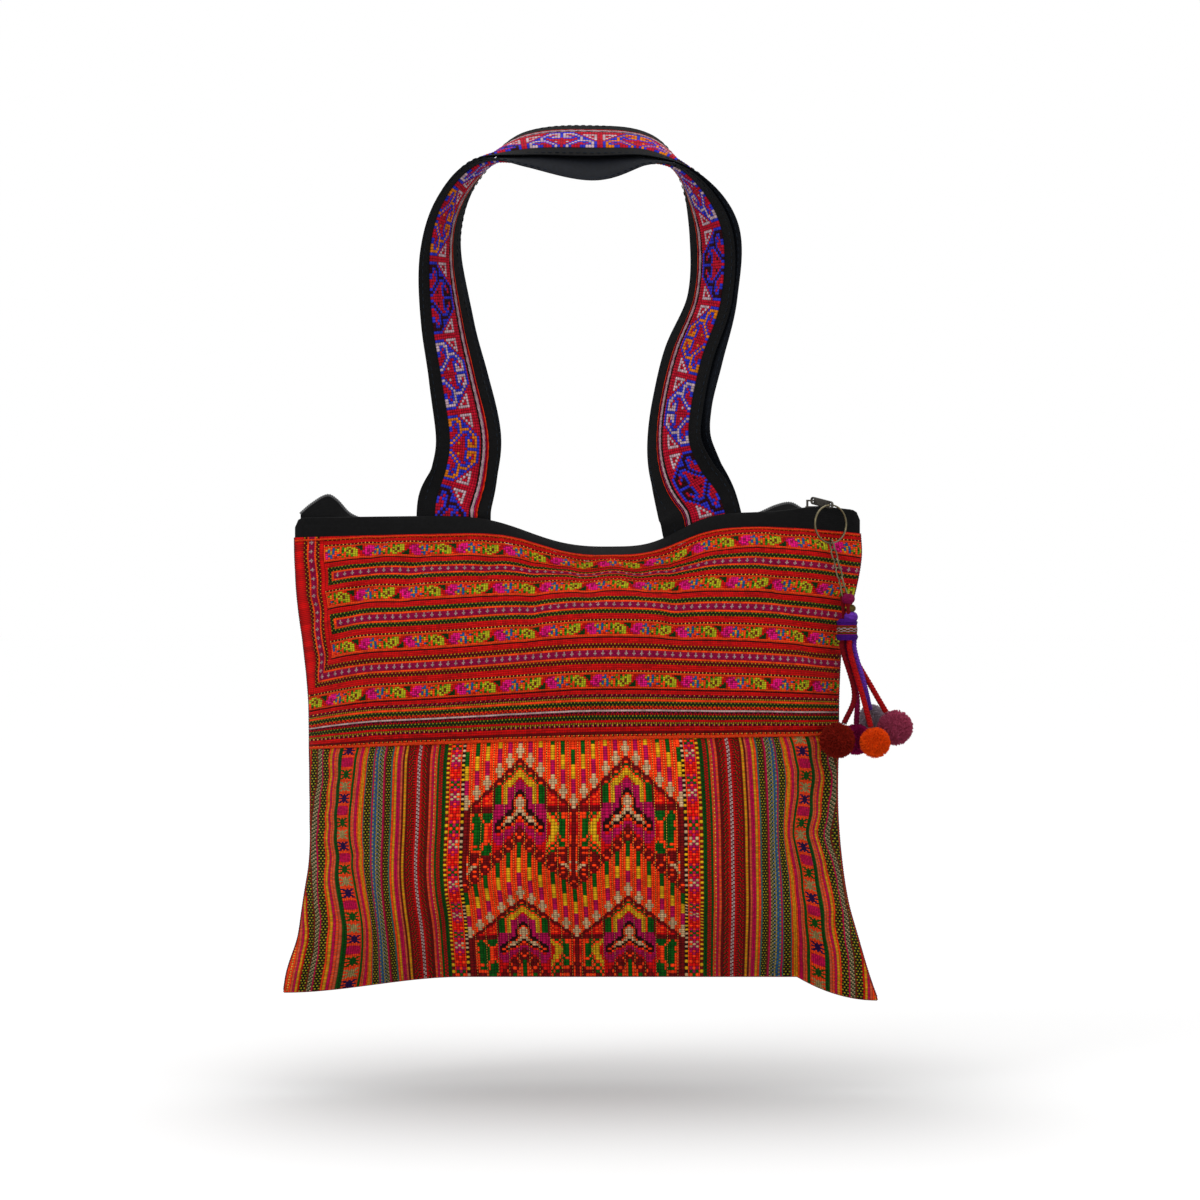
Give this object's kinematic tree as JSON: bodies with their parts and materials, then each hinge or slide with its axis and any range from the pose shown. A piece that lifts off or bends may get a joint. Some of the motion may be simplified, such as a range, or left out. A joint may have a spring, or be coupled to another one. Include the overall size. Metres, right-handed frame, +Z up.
{
  "type": "embroidered shoulder bag",
  "caption": "Soft zipped shoulder bag of striped and cross-stitched cloth with doubled ribbon handles and a tassel charm on the zip pull.",
  "frame": {"origin": "on the crown of the doubled handles, where a shoulder or a hook carries the bag", "axes": "+Z up along the hanging bag, +X to the viewer's right, -Y towards the front face"},
  "size_m": [0.3985, 0.1046, 0.5589],
  "materials": {
    "striped_cloth": "woven stripes and cross stitch",
    "embroidered_cloth": "rows of embroidered braid",
    "black_cotton": "plain weave",
    "zip_tape": "woven tape",
    "zip_nylon": "satin",
    "dark_metal": "blackened",
    "aged_brass": "tarnished",
    "tassel_binding": "wound thread and braid",
    "cord_maroon": "rolled cord",
    "cord_magenta": "rolled cord",
    "cord_red": "rolled cord",
    "cord_purple": "rolled cord",
    "wool_dark_red": "cut wool",
    "wool_magenta": "cut wool",
    "wool_orange": "cut wool",
    "wool_mauve": "cut wool",
    "wool_violet": "cut wool",
    "ribbon": "cross-stitched ribbon"
  },
  "bodies": {
    "bag": {"front_lower_panel": "striped_cloth", "front_upper_panel": "embroidered_cloth", "front_top_band": "black_cotton", "back_lower_panel": "striped_cloth", "back_upper_panel": "embroidered_cloth", "back_top_band": "black_cotton", "zip_tape_front": "zip_tape", "zip_tape_back": "zip_tape", "zip_coil": "zip_nylon", "zip_slider": "dark_metal", "front_strap": "black_cotton", "back_strap": "black_cotton", "front_strap_ribbon": "ribbon", "back_strap_ribbon": "ribbon"},
    "zip_pull": {"zip_pull": "dark_metal"},
    "charm": {"key_ring": "aged_brass", "charm_chain": "aged_brass", "tassel_head": "tassel_binding", "cord_dark_red": "cord_maroon", "cord_magenta": "cord_magenta", "cord_orange": "cord_red", "cord_mauve": "cord_red", "cord_violet": "cord_purple", "pompom_dark_red": "wool_dark_red", "pompom_magenta": "wool_magenta", "pompom_orange": "wool_orange", "pompom_mauve": "wool_mauve", "pompom_violet": "wool_violet"}
  },
  "joints": [
    {"name": "pull_flip", "type": "hinge", "parent": "bag", "child": "zip_pull", "pos_m": [0.1475, 0, -0.2131], "axis": [-0.8428, -0.5382, 0], "range_deg": [0, 60]},
    {"name": "charm_swing", "type": "hinge", "parent": "zip_pull", "child": "charm", "pos_m": [0.15758, -0.01578, -0.21633], "axis": [-0.8428, -0.5382, 0], "range_deg": [0, 50]}
  ]
}
